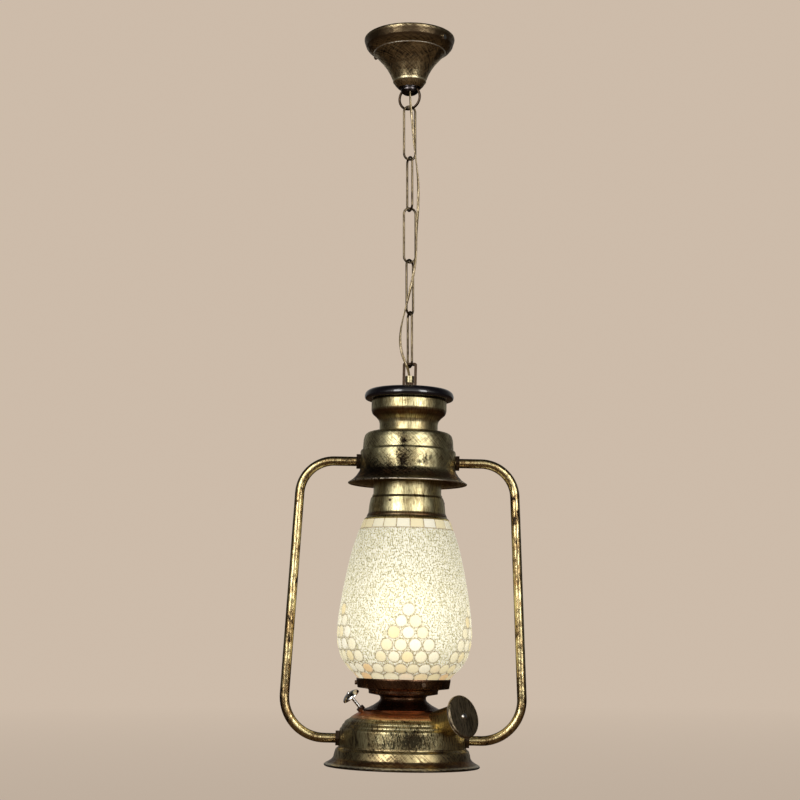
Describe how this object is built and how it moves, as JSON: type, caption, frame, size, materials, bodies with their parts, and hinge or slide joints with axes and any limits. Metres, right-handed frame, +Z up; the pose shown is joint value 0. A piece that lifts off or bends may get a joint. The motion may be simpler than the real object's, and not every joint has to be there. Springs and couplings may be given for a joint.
{
  "type": "hanging lantern",
  "caption": "Electric hurricane-style hanging lantern: bell canopy, chain with flex, smoke cap, side tubes, round mosaic-glass globe, tank base with filler cap and wick knob.",
  "frame": {"origin": "centre of the canopy's rim, in the plane of the ceiling", "axes": "+Z up, along the chain; -Y is the front, with the filler cap at the front right; the side tubes stand to -X and +X"},
  "size_m": [0.2433, 0.1532, 0.7463],
  "materials": {
    "antique_brass": "brushed, with a dark worn patina",
    "dark_bronze": "brushed, oil-rubbed",
    "black_cap": "glossy",
    "filler_brass": "finely brushed, dark",
    "chrome": "polished",
    "steel": "zinc-plated",
    "globe_glass": "mosaic tiles and beads in pale grout",
    "bulb_glass": "clear",
    "contact_brass": "plain",
    "flex_jacket": "translucent gold, twin-core",
    "moulding": "moulded",
    "seal_rubber": "plain"
  },
  "bodies": {
    "ceiling": {"ceiling_strap": "steel", "canopy": "dark_bronze", "canopy_screws": "steel", "hanger_boss": "dark_bronze", "hanger_pin": "steel", "terminal_block": "moulding", "terminal_screws": "steel", "cord_feed": "flex_jacket"},
    "ring": {"ring": "dark_bronze"},
    "link_1": {"link_1": "dark_bronze", "cord_link_1": "flex_jacket"},
    "link_2": {"link_2": "dark_bronze", "cord_link_2": "flex_jacket"},
    "link_3": {"link_3": "dark_bronze", "cord_link_3": "flex_jacket"},
    "link_4": {"link_4": "dark_bronze", "cord_link_4": "flex_jacket"},
    "link_5": {"link_5": "dark_bronze", "cord_link_5": "flex_jacket"},
    "lantern": {"cord_end": "flex_jacket", "inner_lead": "flex_jacket", "stirrup": "dark_bronze", "nipple": "steel", "stirrup_nut": "antique_brass", "cord_bushing": "antique_brass", "top_cap": "black_cap", "chimney": "antique_brass", "chimney_nut": "steel", "hood": "antique_brass", "hood_plate": "antique_brass", "hood_nuts": "antique_brass", "lower_neck": "antique_brass", "globe_collar": "antique_brass", "collar_screws": "steel", "left_tube": "antique_brass", "right_tube": "antique_brass", "globe": "globe_glass", "gallery": "dark_bronze", "gallery_screws": "steel", "lampholder": "moulding", "holder_contact": "contact_brass", "holder_plate": "steel", "holder_nipple": "steel", "holder_nuts": "steel", "burner_cone": "dark_bronze", "tank": "antique_brass", "base_skirt": "antique_brass", "base_plate": "antique_brass", "base_nuts": "antique_brass", "filler_neck": "antique_brass", "wick_gland": "chrome"},
    "bulb": {"bulb_cap": "contact_brass", "bulb_glass": "bulb_glass"},
    "filler_seal": {"filler_seal": "seal_rubber"},
    "filler_cap": {"filler_cap": "filler_brass", "filler_rivet": "filler_brass"},
    "wick": {"wick_shaft": "chrome", "wick_clip": "chrome", "wick_knob": "chrome", "wick_rivet": "chrome"}
  },
  "joints": [
    {"name": "ring_swing", "type": "hinge", "parent": "ceiling", "child": "ring", "pos_m": [0, 0, -0.0561], "axis": [0.5, 0.866, 0], "range_deg": [-8, 8]},
    {"name": "link_1_swing", "type": "hinge", "parent": "ring", "child": "link_1", "pos_m": [0, 0, -0.077], "axis": [0.866, -0.5, 0], "range_deg": [-8, 8]},
    {"name": "link_2_swing", "type": "hinge", "parent": "link_1", "child": "link_2", "pos_m": [0, 0, -0.13115], "axis": [0.9659, 0.2588, 0], "range_deg": [-8, 8]},
    {"name": "link_3_swing", "type": "hinge", "parent": "link_2", "child": "link_3", "pos_m": [0, 0, -0.18545], "axis": [0.4226, -0.9063, 0], "range_deg": [-8, 8]},
    {"name": "link_4_swing", "type": "hinge", "parent": "link_3", "child": "link_4", "pos_m": [0, 0, -0.23975], "axis": [0.9903, 0.1392, 0], "range_deg": [-8, 8]},
    {"name": "link_5_swing", "type": "hinge", "parent": "link_4", "child": "link_5", "pos_m": [0, 0, -0.29405], "axis": [0.5592, 0.829, 0], "range_deg": [-8, 8]},
    {"name": "lantern_swing", "type": "hinge", "parent": "link_5", "child": "lantern", "pos_m": [0, 0, -0.34835], "axis": [0.342, -0.9397, 0], "range_deg": [-10, 10]},
    {"name": "bulb_out", "type": "slide", "parent": "lantern", "child": "bulb", "axis": [0.0209, 0, 0.9998], "range_m": [0, 0.022]},
    {"name": "filler_rise", "type": "slide", "parent": "lantern", "child": "filler_seal", "axis": [0.7054, -0.6522, 0.2777], "range_m": [0, 0.008]},
    {"name": "filler_turn", "type": "hinge", "parent": "filler_seal", "child": "filler_cap", "pos_m": [0.04772, -0.05126, -0.695], "axis": [0.7054, -0.6522, 0.2777], "range_deg": [0, 1440]},
    {"name": "wick_turn", "type": "hinge", "parent": "lantern", "child": "wick", "pos_m": [-0.04617, -0.01267, -0.69071], "axis": [-0.6106, -0.2035, 0.7654], "continuous": true}
  ],
  "couplings": [
    {"joint": "filler_rise", "follows": "filler_turn", "m_per_rad": 0.00031831}
  ]
}
